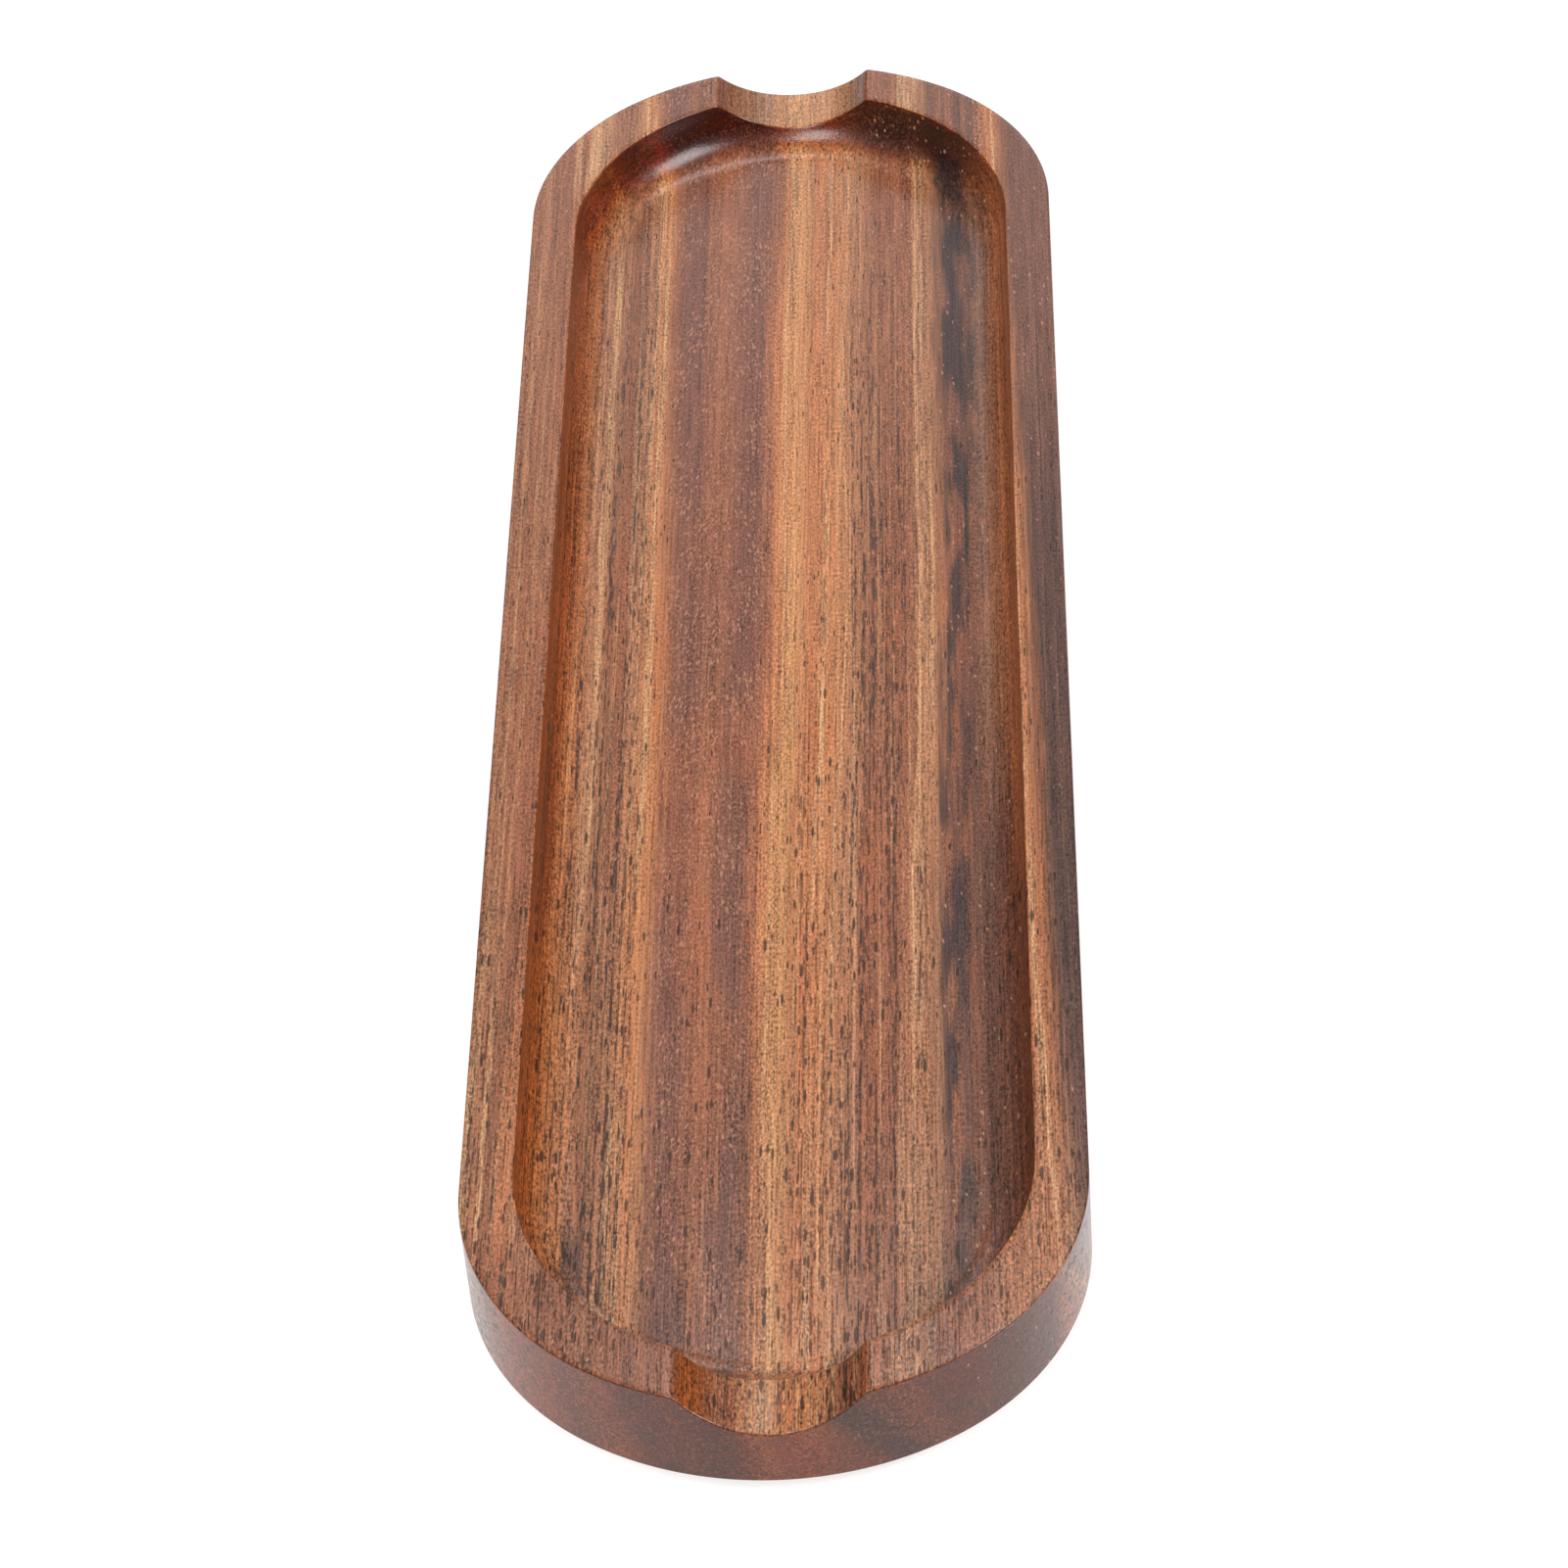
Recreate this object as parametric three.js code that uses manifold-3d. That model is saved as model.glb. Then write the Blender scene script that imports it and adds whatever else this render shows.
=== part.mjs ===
// Spoon rest: one plank of acacia, hollowed by a long round-ended recess and cut through the rim
// at both ends by a round trough that the spoon's handle lies in. It stands on four small rubber
// feet stuck to its underside. Millimetres, +Z up, length along Y. The origin is below the middle
// of the tray, on the plane that the feet stand on.

import * as THREE from 'three';
import { mergeVertices, toCreasedNormals } from 'three/addons/utils/BufferGeometryUtils.js';
import Module from 'manifold-3d';

// Board: straight sides and rounded ends, each end a blunt arc between two slightly tighter ones
const BOARD_LENGTH = 300;
const BOARD_WIDTH = 85;
const BOARD_THICKNESS = 15;
const END_RADIUS = 45.5;
const CORNER_RADIUS = 39;
const EDGE_BREAK = 0.6;

// Recess: half-round ends, a flat floor and a cove where the wall runs into the floor
const RECESS_LENGTH = 283;
const RECESS_WIDTH = 70.5;
const RECESS_DEPTH = 9;
const COVE_RADIUS = 7;
const MOUTH_BREAK = 0.4;

// Spoon notches: one straight pass of a round cutter along the length, shallower than the recess
const NOTCH_RADIUS = 16.5;
const NOTCH_DEPTH = 5.8;

// Feet: low domed bumpers, in a rectangle under the straight part of the tray
const FOOT_DIAMETER = 10;
const FOOT_FLAT_DIAMETER = 6;
const FOOT_HEIGHT = 2;
const FOOT_SPACING_ACROSS = 46;
const FOOT_SPACING_ALONG = 210;

// Finish of the two materials
const WOOD = { color: 0x8a5a42, roughness: 0.45, metalness: 0 };
const RUBBER = { color: 0x2a2827, roughness: 0.85, metalness: 0 };

// Fineness of the facets, and how far a cutter runs past the face that it opens
const ARC_SEGMENTS = 9;
const COVE_SEGMENTS = 8;
const NOTCH_SEGMENTS = 96;
const FOOT_SEGMENTS = 32;
const FOOT_DOME_SEGMENTS = 6;
const OVERSHOOT = 2;
const SMOOTHING_ANGLE = Math.PI / 6;

const wasm = await Module();
wasm.setup();

function toSolid(geometry) {
  const bare = geometry.clone();
  bare.deleteAttribute('normal');
  bare.deleteAttribute('uv');
  const merged = mergeVertices(bare);
  const mesh = new wasm.Mesh({
    numProp: 3,
    vertProperties: new Float32Array(merged.attributes.position.array),
    triVerts: new Uint32Array(merged.index.array),
  });
  return new wasm.Manifold(mesh);
}

function toGeometry(solid) {
  const mesh = solid.getMesh();
  const geometry = new THREE.BufferGeometry();
  geometry.setAttribute('position', new THREE.BufferAttribute(mesh.vertProperties, 3));
  geometry.setIndex(new THREE.BufferAttribute(mesh.triVerts, 1));
  return toCreasedNormals(geometry, SMOOTHING_ANGLE);
}

// The board's outline. The end arc's centre lies on the long axis, and the corner arcs touch both
// the end arc and the straight sides.
function boardOutline() {
  const half = BOARD_WIDTH / 2;
  const endCentre = BOARD_LENGTH / 2 - END_RADIUS;
  const cornerX = half - CORNER_RADIUS;
  const cornerY = endCentre + Math.sqrt((END_RADIUS - CORNER_RADIUS) ** 2 - cornerX ** 2);
  const join = Math.atan2(cornerY - endCentre, cornerX);
  const outline = new THREE.Shape();
  outline.moveTo(half, -cornerY);
  outline.lineTo(half, cornerY);
  outline.absarc(cornerX, cornerY, CORNER_RADIUS, 0, join);
  outline.absarc(0, endCentre, END_RADIUS, join, Math.PI - join);
  outline.absarc(-cornerX, cornerY, CORNER_RADIUS, Math.PI - join, Math.PI);
  outline.lineTo(-half, -cornerY);
  outline.absarc(-cornerX, -cornerY, CORNER_RADIUS, Math.PI, Math.PI + join);
  outline.absarc(0, -endCentre, END_RADIUS, Math.PI + join, 2 * Math.PI - join);
  outline.absarc(cornerX, -cornerY, CORNER_RADIUS, 2 * Math.PI - join, 2 * Math.PI);
  return outline;
}

function recessOutline() {
  const radius = RECESS_WIDTH / 2;
  const centre = RECESS_LENGTH / 2 - radius;
  const outline = new THREE.Shape();
  outline.moveTo(radius, -centre);
  outline.lineTo(radius, centre);
  outline.absarc(0, centre, radius, 0, Math.PI);
  outline.lineTo(-radius, -centre);
  outline.absarc(0, -centre, radius, Math.PI, 2 * Math.PI);
  return outline;
}

// The plank cut to its outline, underside at zero, with its top and bottom edges broken by sanding
function boardBlank() {
  const blank = new THREE.ExtrudeGeometry(boardOutline(), {
    depth: BOARD_THICKNESS - 2 * EDGE_BREAK,
    bevelThickness: EDGE_BREAK,
    bevelSize: EDGE_BREAK,
    bevelOffset: -EDGE_BREAK,
    bevelSegments: 1,
    curveSegments: ARC_SEGMENTS,
  });
  return blank.translate(0, 0, EDGE_BREAK);
}

// The hollow to be cut away: its rounded lower edge leaves the cove
function recessHollow() {
  const hollow = new THREE.ExtrudeGeometry(recessOutline(), {
    depth: RECESS_DEPTH - COVE_RADIUS + OVERSHOOT,
    bevelThickness: COVE_RADIUS,
    bevelSize: COVE_RADIUS,
    bevelOffset: -COVE_RADIUS,
    bevelSegments: COVE_SEGMENTS,
    curveSegments: 2 * ARC_SEGMENTS,
  });
  return hollow.translate(0, 0, BOARD_THICKNESS - RECESS_DEPTH + COVE_RADIUS);
}

// The small slope that sanding leaves round the mouth of the recess
function mouthSlope() {
  const slope = new THREE.ExtrudeGeometry(recessOutline(), {
    depth: OVERSHOOT,
    bevelThickness: MOUTH_BREAK,
    bevelSize: MOUTH_BREAK,
    bevelSegments: 1,
    curveSegments: 2 * ARC_SEGMENTS,
  });
  return slope.translate(0, 0, BOARD_THICKNESS);
}

// A round bar along the length, whose underside cuts the trough through both ends of the rim
function notchBar() {
  const length = BOARD_LENGTH + 2 * OVERSHOOT;
  const bar = new THREE.CylinderGeometry(NOTCH_RADIUS, NOTCH_RADIUS, length, NOTCH_SEGMENTS);
  return bar.translate(0, 0, BOARD_THICKNESS - NOTCH_DEPTH + NOTCH_RADIUS);
}

function makeTray() {
  const carved = toSolid(boardBlank())
    .subtract(toSolid(recessHollow()))
    .subtract(toSolid(mouthSlope()))
    .subtract(toSolid(notchBar()));
  const tray = new THREE.Mesh(toGeometry(carved), new THREE.MeshStandardMaterial(WOOD));
  tray.name = 'tray';
  tray.position.z = FOOT_HEIGHT;
  return tray;
}

// A foot stands on its small flat, domes out to its full width and is stuck on by its flat top
function makeFoot(name, x, y) {
  const flat = FOOT_FLAT_DIAMETER / 2;
  const bulge = FOOT_DIAMETER / 2 - flat;
  const profile = [new THREE.Vector2(0, 0)];
  for (let step = 0; step <= FOOT_DOME_SEGMENTS; step += 1) {
    const turn = (step / FOOT_DOME_SEGMENTS) * (Math.PI / 2);
    const out = flat + bulge * Math.sin(turn);
    const up = FOOT_HEIGHT * (1 - Math.cos(turn));
    profile.push(new THREE.Vector2(out, up));
  }
  profile.push(new THREE.Vector2(0, FOOT_HEIGHT));
  const turned = new THREE.LatheGeometry(profile, FOOT_SEGMENTS);
  turned.rotateX(Math.PI / 2);
  const foot = new THREE.Mesh(turned, new THREE.MeshStandardMaterial(RUBBER));
  foot.name = name;
  foot.position.set(x, y, 0);
  return foot;
}

function makeFeet() {
  const feet = new THREE.Group();
  for (const [end, along] of [['near', -1], ['far', 1]]) {
    for (const [side, across] of [['left', -1], ['right', 1]]) {
      const x = (across * FOOT_SPACING_ACROSS) / 2;
      const y = (along * FOOT_SPACING_ALONG) / 2;
      feet.add(makeFoot(`foot_${end}_${side}`, x, y));
    }
  }
  return feet;
}

const spoonRest = new THREE.Group();
spoonRest.name = 'spoon_rest';
spoonRest.add(makeTray());
spoonRest.add(makeFeet());

export default spoonRest;
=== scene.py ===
import math

import bpy
from mathutils import Matrix, Vector


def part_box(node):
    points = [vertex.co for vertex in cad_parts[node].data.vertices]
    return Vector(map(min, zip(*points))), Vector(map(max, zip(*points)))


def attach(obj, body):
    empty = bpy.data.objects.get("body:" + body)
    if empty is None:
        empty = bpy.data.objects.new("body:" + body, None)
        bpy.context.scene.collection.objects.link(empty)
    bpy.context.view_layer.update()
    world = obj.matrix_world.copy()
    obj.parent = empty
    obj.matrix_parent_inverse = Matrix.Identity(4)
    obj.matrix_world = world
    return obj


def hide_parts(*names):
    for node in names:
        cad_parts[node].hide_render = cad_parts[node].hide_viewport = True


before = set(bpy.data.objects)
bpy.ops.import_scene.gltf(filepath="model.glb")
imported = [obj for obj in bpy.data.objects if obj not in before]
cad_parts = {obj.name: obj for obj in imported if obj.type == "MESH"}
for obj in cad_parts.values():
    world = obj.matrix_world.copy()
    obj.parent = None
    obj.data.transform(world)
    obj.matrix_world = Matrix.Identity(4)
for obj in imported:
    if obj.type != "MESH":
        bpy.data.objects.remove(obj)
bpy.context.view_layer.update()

# Tray. One plank of acacia, sawn to a long round-ended outline. The recess is routed with a
# round-cornered bit, a round-nosed pass along the length cuts both spoon notches, and all edges
# are sanded a little round before the board gets its satin lacquer.
tray_low, tray_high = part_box("tray")
HALF_WIDTH = tray_high.x
HALF_LENGTH = tray_high.y
RIM_TOP = tray_high.z
UNDERSIDE = tray_low.z
END_RADIUS = 0.0455
CORNER_RADIUS = 0.039
RECESS_HALF_LENGTH = 0.1415
RECESS_HALF_WIDTH = 0.03525
RECESS_DEPTH = 0.009
COVE_RADIUS = 0.007
NOTCH_RADIUS = 0.0165
NOTCH_DEPTH = 0.0058
SHOULDER_RADIUS = 0.0008
EDGE_ROUND = 0.0003
EDGE_ROUND_STEPS = 3
CORNER_STEPS = 100
END_STEPS = 116
RIM_ROWS = 8
WALL_ROWS = 13
HALVINGS = 30
SHARP_EDGE = math.radians(30)
CLOSE_POINTS = 0.00002


def draw_outline(name, start, strokes):
    """A closed loop of edges, drawn from a start point by straight strokes and arcs about a centre."""
    bpy.ops.object.select_all(action="DESELECT")
    bpy.ops.mesh.primitive_plane_add(size=CLOSE_POINTS, location=start)
    piece = bpy.context.object
    piece.name = name
    bpy.ops.object.transform_apply()
    bpy.ops.object.mode_set(mode="EDIT")
    bpy.ops.mesh.select_all(action="SELECT")
    bpy.ops.mesh.merge(type="CENTER")
    for centre, amount, steps in strokes:
        if centre is None:
            bpy.ops.mesh.extrude_region_move(TRANSFORM_OT_translate={"value": (0, amount, 0)})
        else:
            bpy.ops.mesh.spin(steps=steps, angle=amount, center=centre, axis=(0, 0, -1))
    bpy.ops.mesh.select_all(action="SELECT")
    bpy.ops.mesh.remove_doubles(threshold=CLOSE_POINTS)
    return piece


end_centre = HALF_LENGTH - END_RADIUS
corner_x = HALF_WIDTH - CORNER_RADIUS
corner_y = end_centre + math.sqrt((END_RADIUS - CORNER_RADIUS) ** 2 - corner_x ** 2)
corner_turn = math.atan2(corner_y - end_centre, corner_x)
board_strokes = []
for way in (1, -1):
    board_strokes += [
        (None, way * 2 * corner_y, 1),
        ((way * corner_x, way * corner_y, UNDERSIDE), corner_turn, CORNER_STEPS),
        ((0, way * end_centre, UNDERSIDE), math.pi - 2 * corner_turn, END_STEPS),
        ((-way * corner_x, way * corner_y, UNDERSIDE), corner_turn, CORNER_STEPS),
    ]
tray = draw_outline("acacia_tray", (HALF_WIDTH, -corner_y, UNDERSIDE), board_strokes)
bpy.ops.mesh.extrude_region_move(TRANSFORM_OT_translate={"value": (0, 0, RIM_TOP - UNDERSIDE)})
bpy.ops.object.mode_set(mode="OBJECT")

recess_centre = RECESS_HALF_LENGTH - RECESS_HALF_WIDTH
recess_strokes = []
for way in (1, -1):
    recess_strokes += [
        (None, way * 2 * recess_centre, 1),
        ((0, way * recess_centre, RIM_TOP), math.pi, 2 * CORNER_STEPS + END_STEPS),
    ]
mouth = draw_outline("recess_mouth", (RECESS_HALF_WIDTH, -recess_centre, RIM_TOP), recess_strokes)
for _ in range(WALL_ROWS):
    drop = RECESS_DEPTH / WALL_ROWS
    bpy.ops.mesh.extrude_region_move(TRANSFORM_OT_translate={"value": (0, 0, -drop)})
bpy.ops.object.mode_set(mode="OBJECT")

bpy.ops.object.select_all(action="DESELECT")
mouth.select_set(True)
tray.select_set(True)
bpy.context.view_layer.objects.active = tray
bpy.ops.object.join()
bpy.ops.object.mode_set(mode="EDIT")
bpy.ops.mesh.select_mode(type="EDGE")
bpy.ops.mesh.select_all(action="DESELECT")
bpy.ops.object.mode_set(mode="OBJECT")
for edge in tray.data.edges:
    edge.select = all(tray.data.vertices[end].co.z > RIM_TOP - CLOSE_POINTS for end in edge.vertices)
bpy.ops.object.mode_set(mode="EDIT")
bpy.ops.mesh.bridge_edge_loops(number_cuts=RIM_ROWS - 1, interpolation="LINEAR")
bpy.ops.mesh.select_all(action="SELECT")
bpy.ops.mesh.fill_holes(sides=0)
bpy.ops.mesh.select_all(action="SELECT")
bpy.ops.mesh.normals_make_consistent(inside=False)
bpy.ops.object.mode_set(mode="OBJECT")

trough_axis = RIM_TOP - NOTCH_DEPTH + NOTCH_RADIUS
shoulder_axis = RIM_TOP - SHOULDER_RADIUS
wall_straight = RECESS_DEPTH - COVE_RADIUS
wall_run = wall_straight + COVE_RADIUS * math.pi / 2
shoulder_x = math.sqrt((NOTCH_RADIUS + SHOULDER_RADIUS) ** 2 - (trough_axis - shoulder_axis) ** 2)
trough_x = shoulder_x * NOTCH_RADIUS / (NOTCH_RADIUS + SHOULDER_RADIUS)


def rim_height(x):
    """Height of the rim at a place across the tray: flat, with the notch's round trough in it."""
    across = abs(x)
    if across > shoulder_x:
        return RIM_TOP
    if across > trough_x:
        return shoulder_axis + math.sqrt(SHOULDER_RADIUS ** 2 - (shoulder_x - across) ** 2)
    return trough_axis - math.sqrt(NOTCH_RADIUS ** 2 - across ** 2)


def wall_place(run):
    """How far in and how far down the recess's wall is, after a share of the run down it from the rim."""
    past_straight = run * wall_run - wall_straight
    if past_straight < 0:
        return 0.0, run * wall_run
    turn = past_straight / COVE_RADIUS
    return COVE_RADIUS * (1 - math.cos(turn)), wall_straight + COVE_RADIUS * math.sin(turn)


def run_to_notch(x):
    """The share of the run down the wall to the notch's edge, on the line that starts at this place."""
    above, below = 0.0, 1.0
    for _ in range(HALVINGS):
        middle = (above + below) / 2
        inset, depth = wall_place(middle)
        if RIM_TOP - depth > rim_height(x * (1 - inset / RECESS_HALF_WIDTH)):
            above = middle
        else:
            below = middle
    return above


def carve(piece):
    """Lowers the rim into the notch's trough at both ends, and rounds the recess's wall into a cove."""
    for vertex in piece.data.vertices:
        x, y, z = vertex.co
        past_side = max(abs(y) - recess_centre, 0.0)
        reach = math.hypot(x, past_side)
        if reach < RECESS_HALF_WIDTH + CLOSE_POINTS and z > UNDERSIDE + CLOSE_POINTS:
            start = run_to_notch(x) if past_side > 0 else 0.0
            run = start + (1 - start) * (RIM_TOP - z) / RECESS_DEPTH
            inset, depth = wall_place(run)
            shrink = 1 - inset / RECESS_HALF_WIDTH
            new_y = math.copysign(min(abs(y), recess_centre) + past_side * shrink, y)
            vertex.co = (x * shrink, new_y, RIM_TOP - depth)
        elif z > RIM_TOP - CLOSE_POINTS and past_side > 0:
            vertex.co.z = rim_height(x)


carve(tray)
bpy.ops.object.mode_set(mode="EDIT")
bpy.ops.mesh.select_all(action="DESELECT")
bpy.ops.mesh.edges_select_sharp(sharpness=SHARP_EDGE)
bpy.ops.mesh.bevel(offset=EDGE_ROUND, segments=EDGE_ROUND_STEPS, affect="EDGES")
bpy.ops.object.mode_set(mode="OBJECT")
bpy.ops.object.shade_smooth()
even = tray.modifiers.new("even_shading", "WEIGHTED_NORMAL")
even.keep_sharp = False
bpy.ops.object.modifier_apply(modifier=even.name)

# The figure of the wood, in millimetres across the floor of the recess. The growth layers run along
# the board and lean to the right towards its underside. Far away they drift a little to the right, and
# the dark bands left of the middle get wider. Along the right rim they fan out as they come near.
MILLIMETRES = 1000
FLOOR_LEVEL = (RIM_TOP - RECESS_DEPTH) * MILLIMETRES
LAYER_LEAN = 0.25
LAYER_DRIFT = 0.008
LAYER_FAN = 0.035
FAN_ACROSS = (29.0, 38.0)
BAND_WIDENING = 2.2
WIDENING_ACROSS = (-25.0, -19.0, -15.0, -9.0)
WIDENING_ALONG = (-20.0, 100.0)
FIGURE_EDGE = 46
STRAW = (0.6, 0.33, 0.16, 1)
HONEY = (0.58, 0.27, 0.108, 1)
AMBER = (0.5, 0.19, 0.075, 1)
ORANGE = (0.44, 0.155, 0.062, 1)
RUST = (0.4, 0.11, 0.04, 1)
TAN = (0.38, 0.158, 0.077, 1)
RUSSET = (0.285, 0.1, 0.049, 1)
PLUM = (0.2, 0.075, 0.05, 1)
UMBER = (0.175, 0.07, 0.045, 1)
SLATE = (0.045, 0.028, 0.028, 1)
PORE = (0.03, 0.016, 0.012, 1)
FLECK = (0.5, 0.225, 0.14, 1)
PAINTED_BOUNCE_TONE = (0.95, 0.74, 0.42, 1)
BANDS = [
    (-46, RUSSET), (-40, TAN), (-37.5, TAN), (-34.5, RUSSET), (-32.5, ORANGE), (-30, TAN), (-27.8, TAN),
    (-26.2, RUSSET), (-24, TAN), (-21, AMBER), (-19.6, AMBER), (-17.8, RUSSET), (-16.2, PLUM), (-14.2, PLUM),
    (-10.8, RUSSET), (-8, PLUM), (-5.5, PLUM), (-3.8, RUSSET), (-2.2, ORANGE), (0.3, HONEY), (3.0, ORANGE),
    (6.5, AMBER), (10, TAN), (13, RUSSET), (18, RUSSET), (20.5, TAN), (22.2, TAN), (25, UMBER),
    (33, UMBER), (34.6, ORANGE), (38.2, ORANGE), (41, UMBER),
]
STRAW_LINES = [
    (-38.6, 0.5), (-36.4, 0.3), (-29.2, 0.45), (-22.8, 0.45), (-21.4, 0.4), (-1.2, 0.25), (5.3, 0.28),
    (8.2, 0.2), (19.8, 0.3), (20.8, 0.35), (21.7, 0.3), (37.4, 0.4),
]
DARK_LINES = [
    (-40.8, 0.25), (-31.2, 0.3), (-27.6, 0.4), (-24.6, 0.2), (-23.0, 0.22), (9.6, 0.2), (11.0, 0.22),
    (12.6, 0.5), (13.9, 0.18), (14.8, 0.2), (16.9, 0.22), (20.6, 0.18),
]
PORE_SHARE = [
    (-46, 0.8), (-36, 0.6), (-31, 0.8), (-27, 0.95), (-22, 0.95), (-20, 0.5), (-17, 0.15), (-5, 0.15),
    (-2, 0.2), (0.5, 0.4), (2.5, 0.7), (6, 0.7), (10, 0.85), (16, 0.8), (19, 0.6), (24, 0.25), (34, 0.3),
    (38, 0.6), (42, 0.4),
]
FLECK_SHARE = [
    (-20, 0.3), (-17.5, 1.0), (-5.5, 0.9), (-3, 0.4), (8, 0.35), (22, 0.3), (25, 0.15), (40, 0.12),
]

acacia = bpy.data.materials.new("acacia")
acacia.use_nodes = True
acacia_nodes = acacia.node_tree


def add_node(tree, kind, sockets, output=0, **options):
    """Adds a shader node, sets its options, feeds its sockets, and returns one of its outputs."""
    node = tree.nodes.new("ShaderNode" + kind)
    for option, value in options.items():
        setattr(node, option, value)
    for socket, value in sockets.items():
        if isinstance(value, bpy.types.NodeSocket):
            tree.links.new(value, node.inputs[socket])
        else:
            node.inputs[socket].default_value = value
    return node.outputs[output]


def wood_math(operation, first, *others):
    """One operation on two or more values, from the first to the last."""
    result = first
    for other in others:
        result = add_node(acacia_nodes, "Math", {0: result, 1: other}, operation=operation)
    return result


def product(*shares):
    """Shares multiplied together: one only where all of them are one."""
    return wood_math("MULTIPLY", *shares)


def total(*values):
    """Values added together."""
    return wood_math("ADD", *values)


def largest(*shares):
    """The largest of some shares: one where any of them is one."""
    return wood_math("MAXIMUM", *shares)


def scaled(value, factor, start=0.0):
    """A value times a factor, counted from a start."""
    return add_node(acacia_nodes, "Math", {0: value, 1: factor, 2: start}, operation="MULTIPLY_ADD")


def without(share, strength=1.0):
    """What is left of one when a share is taken away in some strength."""
    return scaled(share, -strength, 1.0)


def size_of(value):
    """A value without its sign."""
    return add_node(acacia_nodes, "Math", {0: value}, operation="ABSOLUTE")


def fade(value, start, end):
    """Goes smoothly from nought at the start to one at the end."""
    sockets = {"Value": value, "From Min": start, "From Max": end}
    return add_node(acacia_nodes, "MapRange", sockets, interpolation_type="SMOOTHSTEP")


def between(value, start, full, ebb, end):
    """Goes smoothly from nought at the start to one, stays, and sinks from the ebb to nought at the end."""
    return product(fade(value, start, full), fade(value, end, ebb))


def tint(base, tone, share, strength=1.0, blend="MIX"):
    """Lays a tone over the wood, in a share between nought and one and in some strength."""
    sockets = {0: scaled(share, strength), 6: base, 7: tone}
    return add_node(acacia_nodes, "Mix", sockets, output=2, data_type="RGBA", blend_type=blend)


def swing(noise, amount):
    """A noise made to swing evenly about nought, so far to each side."""
    return scaled(noise, 2 * amount, -amount)


def across_ramp(place, stops):
    """Tones or shares that follow each other across the board."""
    sockets = {"Value": place, "From Min": -FIGURE_EDGE, "From Max": FIGURE_EDGE}
    spread = add_node(acacia_nodes, "MapRange", sockets)
    ramp = acacia_nodes.nodes.new("ShaderNodeValToRGB")
    acacia_nodes.links.new(spread, ramp.inputs["Fac"])
    for number, (at, tone) in enumerate(stops):
        where = (at + FIGURE_EDGE) / (2 * FIGURE_EDGE)
        if number < 2:
            stop = ramp.color_ramp.elements[number]
            stop.position = where
        else:
            stop = ramp.color_ramp.elements.new(where)
        stop.color = tone if isinstance(tone, tuple) else (tone, tone, tone, 1)
    return ramp.outputs["Color"]


def axes_of(vector):
    """The parts of a vector across the board, along it and up."""
    axes = acacia_nodes.nodes.new("ShaderNodeSeparateXYZ")
    acacia_nodes.links.new(vector, axes.inputs[0])
    return axes.outputs


object_place = add_node(acacia_nodes, "TexCoord", {}, output="Object")
to_millimetres = (MILLIMETRES, MILLIMETRES, MILLIMETRES)
board_place = add_node(acacia_nodes, "VectorMath", {0: object_place, 1: to_millimetres}, operation="MULTIPLY")
board_x, board_y, board_z = axes_of(board_place)
facing_x, facing_y, facing_z = axes_of(add_node(acacia_nodes, "NewGeometry", {}, output="Normal"))


def board_noise(across, along, detail):
    """Noise with so many waves to a millimetre across the fibres and along them."""
    scales = (across, along, across)
    place = add_node(acacia_nodes, "VectorMath", {0: board_place, 1: scales}, operation="MULTIPLY")
    return add_node(acacia_nodes, "TexNoise", {"Vector": place, "Scale": 1.0, "Detail": detail})


def patches(across, along, start, full, detail=2.0):
    """Patches of noise: nought where it is below the start, and one where it is above the full value."""
    return fade(board_noise(across, along, detail), start, full)


# Shares that several marks use: the rim's top face, all that lies below it, the space between the outer
# sides, faces across the fibres and faces along them, and faces that are steep
RIM_LEVEL = (16.0, 16.9)
LEFT_OF_RIGHT_SIDE = (38.5, 36.5)
RIGHT_OF_LEFT_SIDE = (-38.5, -36.5)
ACROSS_FIBRES = (0.3, 0.85)
STEEP = (0.97, 0.4)
rim_face = fade(board_z, *RIM_LEVEL)
below_rim = without(rim_face)
end_grain = fade(size_of(facing_y), *ACROSS_FIBRES)
side_grain = without(end_grain)
steep = fade(size_of(facing_z), *STEEP)

lean = scaled(total(board_z, -FLOOR_LEVEL), LAYER_LEAN)
drift = scaled(board_y, -LAYER_DRIFT)
fan = product(board_y, LAYER_FAN, fade(board_x, *FAN_ACROSS))
wander = swing(board_noise(across=0.02, along=0.009, detail=1.0), amount=1.8)
waver = swing(board_noise(across=0.16, along=0.045, detail=2.0), amount=0.7)
layer = total(board_x, lean, drift, fan, wander, waver)
streaks = board_noise(across=1.3, along=0.012, detail=3.0)
weave = board_noise(across=3.0, along=1.6, detail=2.0)
frayed = total(layer, swing(streaks, amount=2.2), swing(weave, amount=1.6))
widening = product(between(layer, *WIDENING_ACROSS), fade(board_y, *WIDENING_ALONG))
frayed = scaled(widening, BAND_WIDENING, frayed)

# The bands, rusty in patches on the near half and russet on the left rim. Pale threads and pores show
# where the grain is open, more so at the near end than at the far one.
RUST_ALONG = (70.0, 0.0)
LEFT_RIM_ACROSS = (-31.0, -35.0)
LEFT_RIM_ALONG = (-95.0, -45.0)
FARTHEST_ALONG = (40.0, 130.0)
OPENING_PER_MILLIMETRE = -0.0016
figure = across_ramp(frayed, BANDS)
rust_patches = product(patches(across=0.14, along=0.02, start=0.5, full=0.64), fade(board_y, *RUST_ALONG))
figure = tint(figure, RUST, rust_patches, strength=0.35)
left_rim = product(fade(frayed, *LEFT_RIM_ACROSS), fade(board_y, *LEFT_RIM_ALONG))
figure = tint(figure, RUSSET, left_rim, strength=0.7)
farthest = fade(board_y, *FARTHEST_ALONG)
open_grain = total(across_ramp(frayed, PORE_SHARE), scaled(board_y, OPENING_PER_MILLIMETRE))
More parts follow.
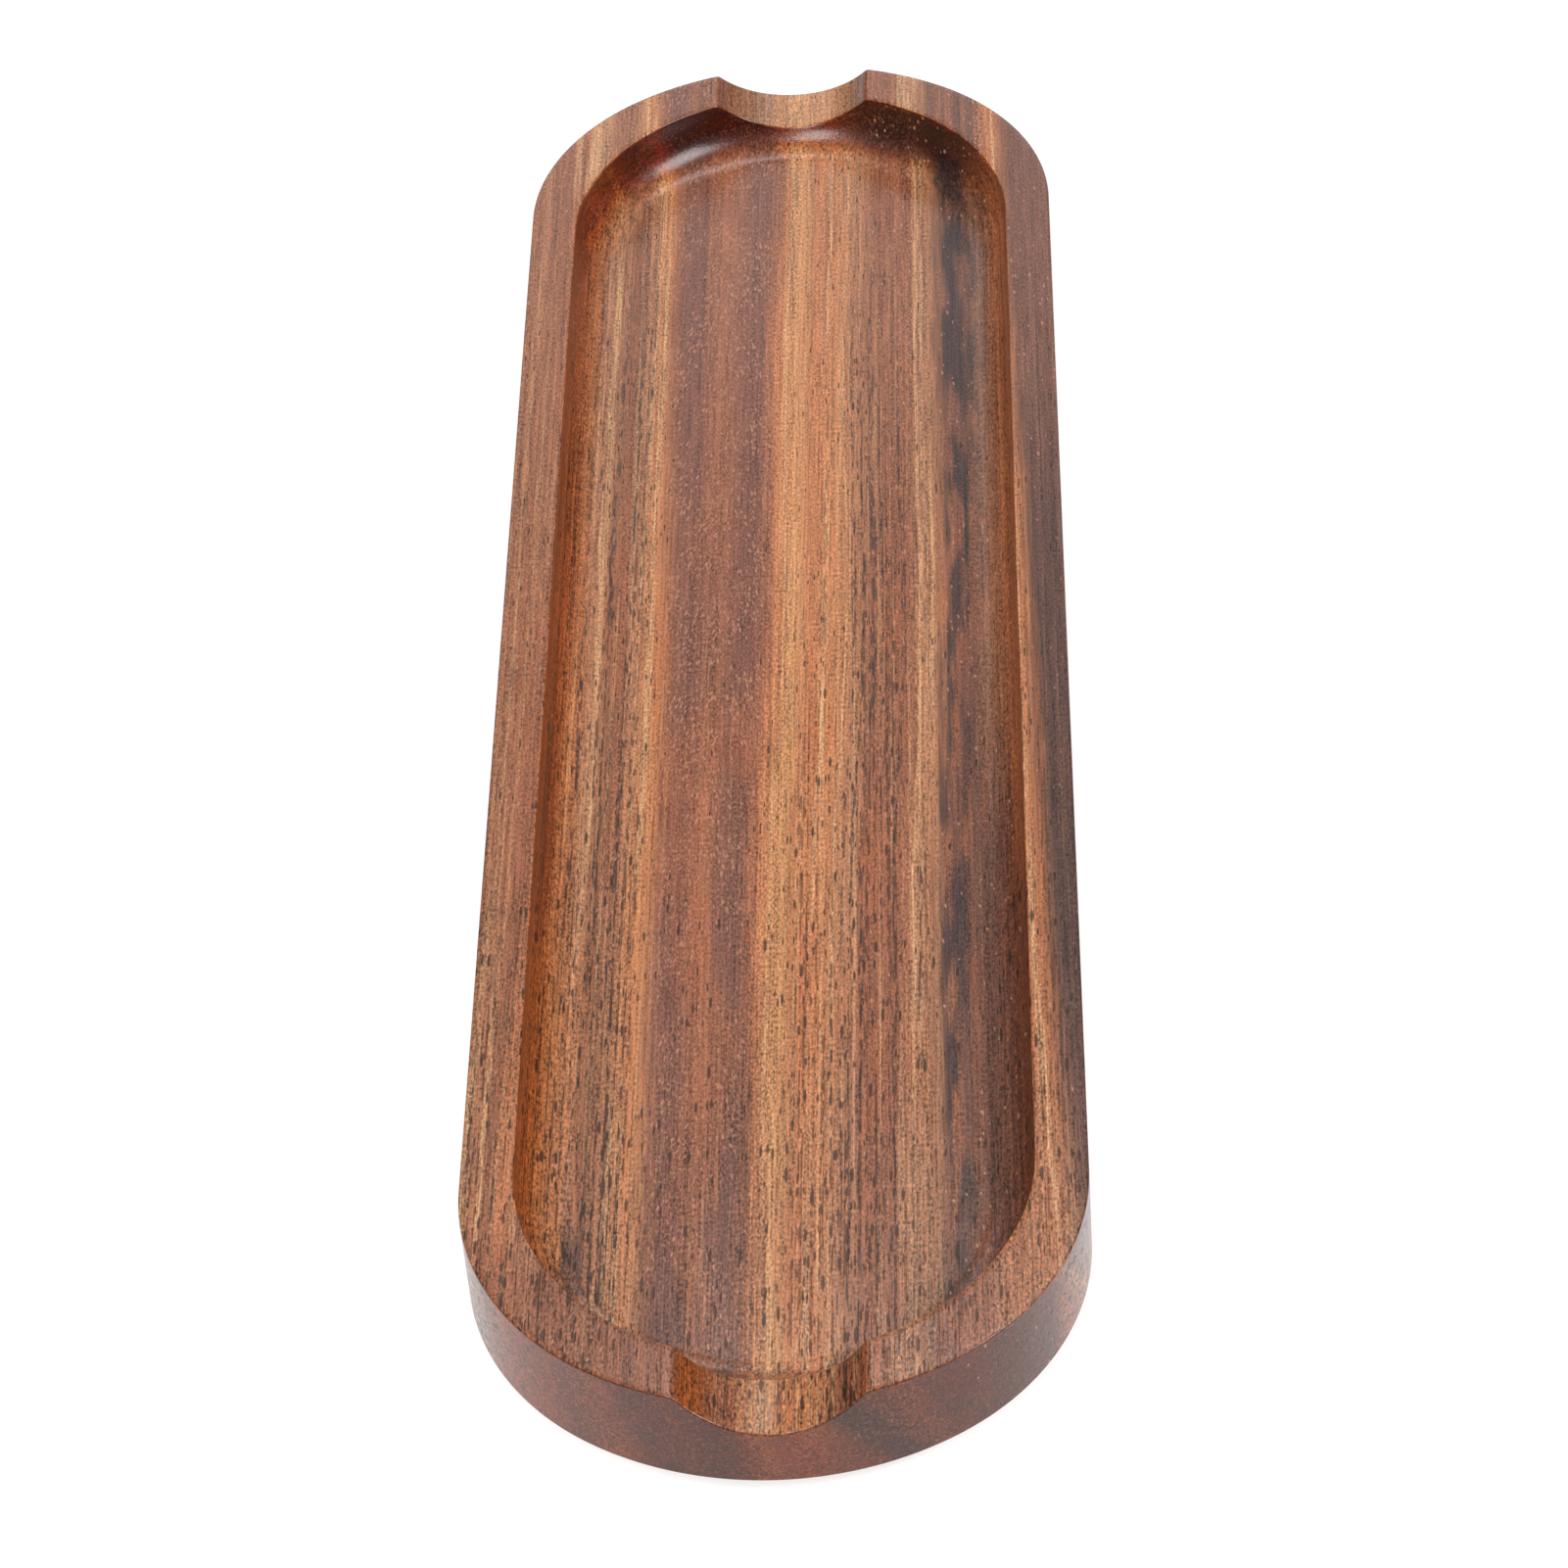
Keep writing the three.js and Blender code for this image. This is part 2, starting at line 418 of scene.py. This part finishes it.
open_grain = total(open_grain, scaled(farthest, -0.4), scaled(left_rim, -0.2))
pale_threads = product(patches(across=1.7, along=0.012, start=0.52, full=0.66), open_grain)
figure = tint(figure, STRAW, pale_threads, strength=0.45)

# Thin pale and dark layers between the bands, that come and go along the board
LINE_CORE = 0.5
LINE_EDGE = 1.4
line_place = total(layer, swing(board_noise(across=0.8, along=0.02, detail=1.0), amount=0.15))
line_fade = product(patches(across=0.35, along=0.012, start=0.33, full=0.5, detail=1.0), side_grain)


def lines(centres):
    """A share that is one on each thin layer and nought between them."""
    shares = []
    for centre, half_width in centres:
        away = size_of(total(line_place, -centre))
        shares.append(fade(away, half_width * LINE_EDGE, half_width * LINE_CORE))
    return largest(*shares)


straw_fibres = product(line_fade, patches(across=4.0, along=0.06, start=0.3, full=0.6))
straw_fibres = product(straw_fibres, without(left_rim, 0.7))
figure = tint(figure, STRAW, product(lines(STRAW_LINES), straw_fibres), strength=0.8)
dark_dashes = product(line_fade, patches(across=1.5, along=0.25, start=0.4, full=0.6))
dark_dashes = product(dark_dashes, without(farthest, 0.64))
figure = tint(figure, SLATE, product(lines(DARK_LINES), dark_dashes), strength=0.8)

# On the rims the figure differs from the floor's: straw streaks at the far end, plain russet at the near
# left and orange at the near right. The near notch is orange on its left, and the far one is made paler
# by a painted sheen.
FAR_RIM_ALONG = (95.0, 125.0)
RIGHT_STREAKS = (19.6, 20.6, 23.6, 25.0)
LEFT_STREAKS = (-35.5, -34.0, -30.5, -29.0)
NEAR_RIM_ALONG = (-112.0, -128.0)
NEAR_LEFT_ACROSS = (2.0, -4.0)
NEAR_RIGHT_ACROSS = (14.0, 18.0)
NEAR_STREAKS_ACROSS = (24.0, 20.0)
NOTCH_LEFT_ACROSS = (-17.5, -15.5, -10.5, -6.5)
NEAR_NOTCH_ALONG = (-131.0, -137.0)
NEAR_NOTCH_LEVEL = (16.95, 16.2)
FAR_NOTCH_ALONG = (136.0, 141.0)
FAR_NOTCH_LEVEL = (16.5, 15.0)
far_streaks = largest(between(layer, *RIGHT_STREAKS), between(layer, *LEFT_STREAKS))
far_streaks = product(far_streaks, rim_face, fade(board_y, *FAR_RIM_ALONG))
far_streaks = product(far_streaks, patches(across=1.1, along=0.03, start=0.45, full=0.58))
figure = tint(figure, STRAW, far_streaks, strength=0.6)
near_rim = product(rim_face, fade(board_y, *NEAR_RIM_ALONG))
near_right = product(near_rim, fade(board_x, *NEAR_RIGHT_ACROSS))
figure = tint(figure, RUSSET, product(near_rim, fade(board_x, *NEAR_LEFT_ACROSS)), strength=0.85)
figure = tint(figure, ORANGE, near_right, strength=0.4)
near_streaks = product(near_right, fade(board_x, *NEAR_STREAKS_ACROSS))
near_streaks = product(near_streaks, patches(across=1.3, along=0.03, start=0.45, full=0.58))
figure = tint(figure, STRAW, near_streaks, strength=0.5)
notch_left = product(between(board_x, *NOTCH_LEFT_ACROSS), fade(board_y, *NEAR_NOTCH_ALONG))
notch_left = product(notch_left, fade(board_z, *NEAR_NOTCH_LEVEL), side_grain)
figure = tint(figure, ORANGE, notch_left, strength=0.75)
# Painted reflection: the far notch's floor is lightened towards straw, as a sheen of the pale surroundings.
far_notch_painted_sheen = product(fade(board_y, *FAR_NOTCH_ALONG), fade(board_z, *FAR_NOTCH_LEVEL), side_grain)
figure = tint(figure, STRAW, far_notch_painted_sheen, strength=0.3)

# Slate-coloured stain: in patches along the dark layer on the floor's right, in the far right cove, on
# the right rim and in a slanting patch on the near end. At the near end the dark layer turns red.
NEAR_END_ALONG = (-45.0, -100.0)
FAR_END_ALONG = (35.0, 75.0)
FLOOR_BAND_LEFT = (22.6, 24.6)
FLOOR_BAND_RIGHT = 26.5
FLOOR_BAND_END = 29.5
FLOOR_BAND_WIDENING = 4.0
FLOOR_STAIN = (0.36, 0.54)
COVE_STAIN_ACROSS = (4.0, 16.0)
RIM_STAIN_ACROSS = (38.0, 41.0)
RIM_STAIN_ALONG = (-130.0, -60.0, 20.0, 80.0)
RED_BAND = (22.5, 25.5, 29.0, 33.0)
RED_STREAKS = (0.46, 0.62)
END_PATCH_SLANT = 0.5
END_PATCH_ACROSS = (15.0, 18.0, 20.0, 26.0)
END_PATCH_ALONG = (-120.0, -138.0)
near_end = fade(board_y, *NEAR_END_ALONG)
far_end = fade(board_y, *FAR_END_ALONG)
band_end = scaled(far_end, FLOOR_BAND_WIDENING, FLOOR_BAND_END)
floor_band = product(fade(frayed, *FLOOR_BAND_LEFT), fade(frayed, band_end, FLOOR_BAND_RIGHT))
floor_clouds = board_noise(across=0.3, along=0.045, detail=2.0)
floor_clouds = total(floor_clouds, scaled(far_end, 0.04), scaled(near_end, -0.15))
floor_stain = product(floor_band, fade(floor_clouds, *FLOOR_STAIN))
cove_stain = product(end_grain, far_end, fade(board_x, *COVE_STAIN_ACROSS))
rim_stain = product(fade(frayed, *RIM_STAIN_ACROSS), between(board_y, *RIM_STAIN_ALONG))
end_patch = between(scaled(board_z, END_PATCH_SLANT, frayed), *END_PATCH_ACROSS)
end_patch = product(end_patch, end_grain, fade(board_y, *END_PATCH_ALONG))
stain = largest(product(largest(floor_stain, cove_stain), below_rim), scaled(rim_stain, 0.7))
stain = largest(stain, scaled(end_patch, 0.85))
red_streaks = scaled(near_end, 0.08, board_noise(across=0.6, along=0.015, detail=2.0))
red_streaks = product(between(frayed, *RED_BAND), fade(red_streaks, *RED_STREAKS))
figure = tint(figure, RUSSET, red_streaks, strength=0.85)

# The far half of the right cove is tan and its near half dark. At the near left the cove is amber, and a
# small dark pocket of bark lies at its foot.
RIGHT_COVE_ACROSS = (27.5, 30.5)
TAN_COVE_ALONG = (-40.0, 0.0)
DARK_COVE_ALONG = (-15.0, -60.0)
LEFT_COVE_ACROSS = (-26.5, -29.5)
AMBER_ALONG = (-40.0, -75.0)
POCKET_X = -28.0
POCKET_Y = -117.0
POCKET_HALF_WIDTH = 1.7
POCKET_HALF_LENGTH = 9.0
POCKET_EDGE = (1.1, 0.4)
POCKET_LEVEL = (14.0, 12.0)
right_cove = product(fade(board_x, *RIGHT_COVE_ACROSS), fade(board_x, *LEFT_OF_RIGHT_SIDE), below_rim)
figure = tint(figure, TAN, product(right_cove, fade(board_y, *TAN_COVE_ALONG)), strength=0.55)
figure = tint(figure, UMBER, product(right_cove, fade(board_y, *DARK_COVE_ALONG)), strength=0.75)
left_cove = product(fade(board_x, *LEFT_COVE_ACROSS), fade(board_x, *RIGHT_OF_LEFT_SIDE), below_rim)
figure = tint(figure, AMBER, product(left_cove, fade(board_y, *AMBER_ALONG)), strength=0.9)
pocket_across = scaled(total(board_x, -POCKET_X), 1 / POCKET_HALF_WIDTH)
pocket_along = scaled(total(board_y, -POCKET_Y), 1 / POCKET_HALF_LENGTH)
pocket_squared = total(product(pocket_across, pocket_across), product(pocket_along, pocket_along))
pocket_reach = wood_math("POWER", pocket_squared, 0.5)
pocket = fade(total(pocket_reach, swing(streaks, amount=1.0)), *POCKET_EDGE)
pocket = product(pocket, fade(board_z, *POCKET_LEVEL))
stain = largest(stain, scaled(pocket, 0.7))
figure = tint(figure, SLATE, stain, strength=0.88)

# Fibres and their fine weave, that lighten and darken all of it. Painted shade makes the near half a little
# darker.
NEAR_PAINTED_SHADE_ALONG = (0.0, -140.0)
fibres = board_noise(across=3.4, along=0.1, detail=2.0)
clouds = board_noise(across=0.08, along=0.02, detail=1.0)
shade = total(swing(streaks, amount=0.45), swing(fibres, amount=0.7), swing(weave, amount=1.2))
# The last term is painted shade: darker towards the near end, as if less light reached it.
shade = total(shade, swing(clouds, amount=0.2), scaled(fade(board_y, *NEAR_PAINTED_SHADE_ALONG), -0.22), 1.0)
figure = add_node(acacia_nodes, "VectorMath", {0: figure, 3: shade}, operation="SCALE")

# Small grains strewn through the wood, for the light flecks and the pores. They are twice as deep as wide.
DEEP_SCALE = 0.5
SMALLEST_GRAIN = 0.65
GRAIN_SPREAD = 0.7
GRAIN_CORE = 0.6


def strewn(across, along, slant, size, share):
    """The share of a surface that is covered by small grains, where their chance is below a share."""
    scales = (across, along, DEEP_SCALE * across)
    place = add_node(acacia_nodes, "VectorMath", {0: board_place, 1: scales}, operation="MULTIPLY")
    leaning = add_node(acacia_nodes, "CombineXYZ", {0: scaled(board_y, slant)})
    place = add_node(acacia_nodes, "VectorMath", {0: place, 1: leaning}, operation="ADD")
    voronoi = acacia_nodes.nodes.new("ShaderNodeTexVoronoi")
    voronoi.inputs["Scale"].default_value = 1.0
    acacia_nodes.links.new(place, voronoi.inputs["Vector"])
    chances = acacia_nodes.nodes.new("ShaderNodeSeparateColor")
    acacia_nodes.links.new(voronoi.outputs["Color"], chances.inputs[0])
    kept = wood_math("LESS_THAN", chances.outputs["Red"], share)
    reach = scaled(chances.outputs["Green"], GRAIN_SPREAD * size, SMALLEST_GRAIN * size)
    return product(fade(voronoi.outputs["Distance"], reach, scaled(reach, GRAIN_CORE)), kept)


# Light flecks in patches where the fibres weave, most of them in the dark bands at the left of the
# middle, where they lean to one side and then to the other. Pale specks of painted highlight, standing
# for glints of the lacquer, lie in the stained wood.
FAR_FLECKS_ALONG = (-90.0, 0.0)
LEAN_CHANGE = (-9.5, -13.0)
PAINTED_GLINT_ACROSS = (24.0, 27.0)
PAINTED_GLINT_ALONG = (144.0, 142.0)
fleck_patches = patches(across=0.15, along=0.06, start=0.28, full=0.58)
fleck_share = product(across_ramp(frayed, FLECK_SHARE), fleck_patches)
fleck_share = product(fleck_share, without(near_rim, 0.8), without(notch_left))
flecks = product(patches(across=2.6, along=1.3, start=0.55, full=0.68, detail=1.0), fleck_share)
figure = tint(figure, STRAW, flecks, strength=0.3)
dash_share = product(scaled(fade(board_y, *FAR_FLECKS_ALONG), 0.5, 0.2), fleck_share)
lean_change = fade(frayed, *LEAN_CHANGE)
right_share = product(dash_share, lean_change)
left_share = product(dash_share, without(lean_change))
leaning_right = strewn(across=2.2, along=0.7, slant=-0.5, size=0.38, share=right_share)
leaning_left = strewn(across=2.2, along=0.7, slant=0.3, size=0.38, share=left_share)
figure = tint(figure, FLECK, largest(leaning_right, leaning_left), strength=0.75)
# Where the painted highlights lie: the stained wood, most of all the far right cove.
painted_glint_share = scaled(largest(stain, fade(frayed, *PAINTED_GLINT_ACROSS)), 0.3, cove_stain)
painted_glint_share = product(painted_glint_share, 0.3, below_rim, fade(board_x, *LEFT_OF_RIGHT_SIDE))
painted_glint_share = product(painted_glint_share, fade(size_of(board_y), *PAINTED_GLINT_ALONG))
painted_glints = strewn(across=1.5, along=0.8, slant=0.3, size=0.27, share=painted_glint_share)

# The dark pores: large ones, of which there are more at the near end, small ones, and others in rows. In
# the right cove the router has torn the grain a little.
LARGE_PORES_ALONG = (20.0, -120.0)
TORN_ACROSS = (27.5, 29.5, 32.5, 34.0)
TORN_ALONG = (70.0, 20.0)
large_share = product(open_grain, scaled(fade(board_y, *LARGE_PORES_ALONG), 0.85, 0.02))
large_pores = strewn(across=1.2, along=0.2, slant=0.0, size=0.28, share=large_share)
small_pores = strewn(across=2.0, along=0.3, slant=0.0, size=0.28, share=scaled(open_grain, 0.7))
pore_rows = product(patches(across=2.8, along=0.012, start=0.54, full=0.62, detail=1.0), open_grain)
pore_rows = product(pore_rows, patches(across=2.1, along=0.3, start=0.44, full=0.56, detail=1.0))
pores = largest(scaled(large_pores, 0.85), scaled(small_pores, 0.8), scaled(pore_rows, 0.75))
pores = product(pores, without(end_grain, 0.85))
torn_share = product(between(board_x, *TORN_ACROSS), fade(board_y, *TORN_ALONG))
torn_grain = strewn(across=1.4, along=0.8, slant=0.5, size=0.22, share=torn_share)
pores = largest(pores, scaled(torn_grain, 0.7))
figure = tint(figure, PORE, pores)

# Steep faces, and end grain most of all, drink more of the finish and are deeper in colour; on steep faces
# part of this deepening is painted shade. The far cove and the far left cove are darkened further with
# painted shade, and a warm tint in the left and far left cove and on the left of the near notch is painted
# bounce light.
FAR_COVE_FACING = (-0.3, -0.85)
FAR_COVE_ALONG = (60.0, 110.0)
FAR_LEFT_ALONG = (95.0, 118.0)
FAR_LEFT_ACROSS = (0.0, -16.0)
FAR_LEFT_FACING = (-0.2, 0.1)
PAINTED_BOUNCE_ALONG = (95.0, 40.0)
figure = tint(figure, RUSSET, product(end_grain, without(stain, 0.8)), strength=0.4)
far_cove_painted_shade = product(fade(facing_y, *FAR_COVE_FACING), fade(board_y, *FAR_COVE_ALONG))
far_left_painted_light = product(fade(board_y, *FAR_LEFT_ALONG), fade(board_x, *FAR_LEFT_ACROSS), below_rim, steep)
far_left_painted_light = product(far_left_painted_light, fade(facing_x, *FAR_LEFT_FACING))
# Deeper colour of end grain, with painted shade on steep faces, in the far cove and in the far left cove.
depth = total(scaled(steep, 0.3), scaled(end_grain, 0.33), scaled(far_cove_painted_shade, 0.5), scaled(far_left_painted_light, 0.42))
depth = product(depth, without(stain, 0.6))
figure = add_node(acacia_nodes, "Gamma", {"Color": figure, "Gamma": total(depth, 1.0)})
# Painted bounce light: a warm tint in the left cove, the far left cove and the left of the near notch.
painted_bounce_warmth = largest(product(left_cove, steep, fade(board_y, *PAINTED_BOUNCE_ALONG)), far_left_painted_light, notch_left)
figure = tint(figure, PAINTED_BOUNCE_TONE, painted_bounce_warmth, blend="MULTIPLY")
# Painted highlights: pale specks laid over the stained wood for glints of the lacquer.
figure = tint(figure, STRAW, painted_glints, strength=0.7)
end_flecks = product(patches(across=2.2, along=2.2, start=0.52, full=0.66), end_grain)
figure = tint(figure, TAN, product(end_flecks, scaled(fleck_patches, 0.2, 0.05)))

# Satin lacquer over the wood. The pores stay a little open and are rougher than the rest.
GRAIN_RELIEF = 0.00015
RELIEF_STRENGTH = 0.35
WOOD_ROUGHNESS = 0.36
relief = wood_math("SUBTRACT", scaled(fibres, 0.35), pores)
bump_sockets = {"Strength": RELIEF_STRENGTH, "Distance": GRAIN_RELIEF, "Height": relief}
bump = add_node(acacia_nodes, "Bump", bump_sockets)
roughness = total(scaled(pores, 0.2), swing(clouds, amount=0.06), WOOD_ROUGHNESS)
lacquered = acacia_nodes.nodes["Principled BSDF"]
acacia_nodes.links.new(figure, lacquered.inputs["Base Color"])
acacia_nodes.links.new(roughness, lacquered.inputs["Roughness"])
acacia_nodes.links.new(bump, lacquered.inputs["Normal"])
acacia_nodes.links.new(bump, lacquered.inputs["Coat Normal"])
lacquered.inputs["Specular IOR Level"].default_value = 0.2
lacquered.inputs["Coat Weight"].default_value = 0.65
lacquered.inputs["Coat Roughness"].default_value = 0.2
tray.data.materials.append(acacia)
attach(tray, "root")
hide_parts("tray")

# Feet. Four low domed bumpers of black rubber, moulded, and stuck to the underside by their flat
# tops, in a rectangle under the straight part of the tray.
FOOT_RADIUS = 0.005
FOOT_DOME = 0.00195
FOOT_DOME_STEPS = 10
FOOT_SIDES = 64
RUBBER_BLACK = (0.028, 0.027, 0.027, 1)
RUBBER_GREY = (0.05, 0.048, 0.047, 1)
RUBBER_ROUGHNESS = 0.75
BLOOM_SCALE = 900.0
MOULD_SCALE = 4000.0
MOULD_RELIEF = 0.00005

rubber = bpy.data.materials.new("foot_rubber")
rubber.use_nodes = True
rubber_nodes = rubber.node_tree
rubber_place = add_node(rubber_nodes, "TexCoord", {}, output="Object")
bloom = add_node(rubber_nodes, "TexNoise", {"Vector": rubber_place, "Scale": BLOOM_SCALE, "Detail": 3.0})
rubber_tones = {0: bloom, 6: RUBBER_BLACK, 7: RUBBER_GREY}
rubber_tone = add_node(rubber_nodes, "Mix", rubber_tones, output=2, data_type="RGBA")
mould_sockets = {"Vector": rubber_place, "Scale": MOULD_SCALE, "Detail": 2.0}
mould_grain = add_node(rubber_nodes, "TexNoise", mould_sockets)
relief_sockets = {"Strength": 0.3, "Distance": MOULD_RELIEF, "Height": mould_grain}
mould_bump = add_node(rubber_nodes, "Bump", relief_sockets)
matt = rubber_nodes.nodes["Principled BSDF"]
rubber_nodes.links.new(rubber_tone, matt.inputs["Base Color"])
rubber_nodes.links.new(mould_bump, matt.inputs["Normal"])
matt.inputs["Roughness"].default_value = RUBBER_ROUGHNESS

first_foot = None
for foot_name in ("foot_near_left", "foot_near_right", "foot_far_left", "foot_far_right"):
    foot_low, foot_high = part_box(foot_name)
    foot_middle = (foot_low + foot_high) / 2
    bpy.ops.object.select_all(action="DESELECT")
    if first_foot is None:
        bpy.ops.mesh.primitive_cylinder_add(
            vertices=FOOT_SIDES, radius=FOOT_RADIUS, depth=foot_high.z - foot_low.z, location=foot_middle)
        foot = bpy.context.object
        bpy.ops.object.transform_apply()
        bpy.ops.object.mode_set(mode="EDIT")
        bpy.ops.mesh.select_mode(type="EDGE")
        bpy.ops.mesh.select_all(action="DESELECT")
        bpy.ops.object.mode_set(mode="OBJECT")
        for edge in foot.data.edges:
            edge.select = all(foot.data.vertices[end].co.z < foot_middle.z for end in edge.vertices)
        bpy.ops.object.mode_set(mode="EDIT")
        bpy.ops.mesh.bevel(offset=FOOT_DOME, segments=FOOT_DOME_STEPS, affect="EDGES")
        bpy.ops.object.mode_set(mode="OBJECT")
        bpy.ops.object.shade_smooth_by_angle(angle=SHARP_EDGE)
        foot.data.materials.append(rubber)
        first_foot = foot
        first_middle = foot_middle
    else:
        foot = first_foot.copy()
        foot.data = first_foot.data.copy()
        bpy.context.collection.objects.link(foot)
        foot.select_set(True)
        bpy.context.view_layer.objects.active = foot
        bpy.ops.transform.translate(value=foot_middle - first_middle)
        bpy.ops.object.transform_apply()
    foot.name = "rubber_" + foot_name
    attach(foot, "root")
    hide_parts(foot_name)

# Floor. A plain white sheet under the tray that glows of itself, like the light table of a product
# photograph, so that next to no shadow shows on it.
FLOOR_SIZE = 8
PAPER_GREY = (0.3, 0.3, 0.3, 1)
PAPER_ROUGHNESS = 0.9
PAPER_GLOW = 0.8
WHITE = (1, 1, 1, 1)
bpy.ops.object.select_all(action="DESELECT")
bpy.ops.mesh.primitive_plane_add(size=FLOOR_SIZE)
floor = bpy.context.object
floor.name = "floor"
paper = bpy.data.materials.new("paper")
paper.use_nodes = True
sheet = paper.node_tree.nodes["Principled BSDF"]
sheet.inputs["Base Color"].default_value = PAPER_GREY
sheet.inputs["Roughness"].default_value = PAPER_ROUGHNESS
sheet.inputs["Emission Color"].default_value = WHITE
sheet.inputs["Emission Strength"].default_value = PAPER_GLOW
floor.data.materials.append(paper)

# Light. Weak white light from all round, a white wall behind, and softboxes high up at the right, at
# the left and behind, whose reflections lie in the lacquer of the far cove. A low fill at the left
# lights the left side and the near end, and is hidden from reflections.
AMBIENT_STRENGTH = 0.08
world = bpy.data.worlds.new("studio")
bpy.context.scene.world = world
world.use_nodes = True
world.node_tree.nodes["Background"].inputs["Color"].default_value = WHITE
world.node_tree.nodes["Background"].inputs["Strength"].default_value = AMBIENT_STRENGTH


def add_softbox(name, bearing, elevation, distance, width, height, brightness):
    """A softbox that looks at the tray, at a bearing turned from straight behind to the right."""
    turn = math.radians(bearing)
    rise = math.radians(elevation)
    towards = Vector((math.cos(rise) * math.sin(turn), math.cos(rise) * math.cos(turn), math.sin(rise)))
    bpy.ops.object.light_add(type="AREA", location=distance * towards)
    box = bpy.context.object
    box.name = name
    box.data.shape = "RECTANGLE"
    box.data.size = width
    box.data.size_y = height
    box.data.energy = brightness * math.pi * width * height
    box.rotation_euler = towards.to_track_quat("Z", "Y").to_euler()
    return box


add_softbox("softbox_right", bearing=108, elevation=42, distance=1.2, width=0.55, height=0.5, brightness=11)
add_softbox("softbox_left", bearing=-158, elevation=58, distance=1.2, width=0.24, height=0.62, brightness=13)
add_softbox("softbox_behind", bearing=14, elevation=59, distance=1.3, width=0.65, height=0.26, brightness=4.2)
add_softbox("white_wall", bearing=-4, elevation=25, distance=2.2, width=1.8, height=0.95, brightness=1.1)
fill_left = add_softbox(
    "fill_left", bearing=-104, elevation=36, distance=1.2, width=0.45, height=0.3, brightness=10)
fill_left.visible_glossy = False

# Camera. It stands in front of the near end and well above it, with a long lens, and its picture
# is turned a little, as the photograph's is.
AIM = Vector((0.0006, -0.0311, RIM_TOP))
AZIMUTH = math.radians(3.94)
ELEVATION = math.radians(42.22)
ROLL = math.radians(-4.88)
DISTANCE = 0.786
LENS = 124.3
turned = (Matrix.Rotation(AZIMUTH, 4, "Z") @ Matrix.Rotation(math.pi / 2 - ELEVATION, 4, "X")
          @ Matrix.Rotation(ROLL, 4, "Z"))
bpy.ops.object.camera_add()
camera = bpy.context.object
camera.name = "camera"
camera.data.lens = LENS
camera.matrix_world = Matrix.Translation(AIM + DISTANCE * turned.col[2].to_3d()) @ turned
bpy.context.scene.camera = camera
bpy.context.scene.view_settings.view_transform = "Standard"
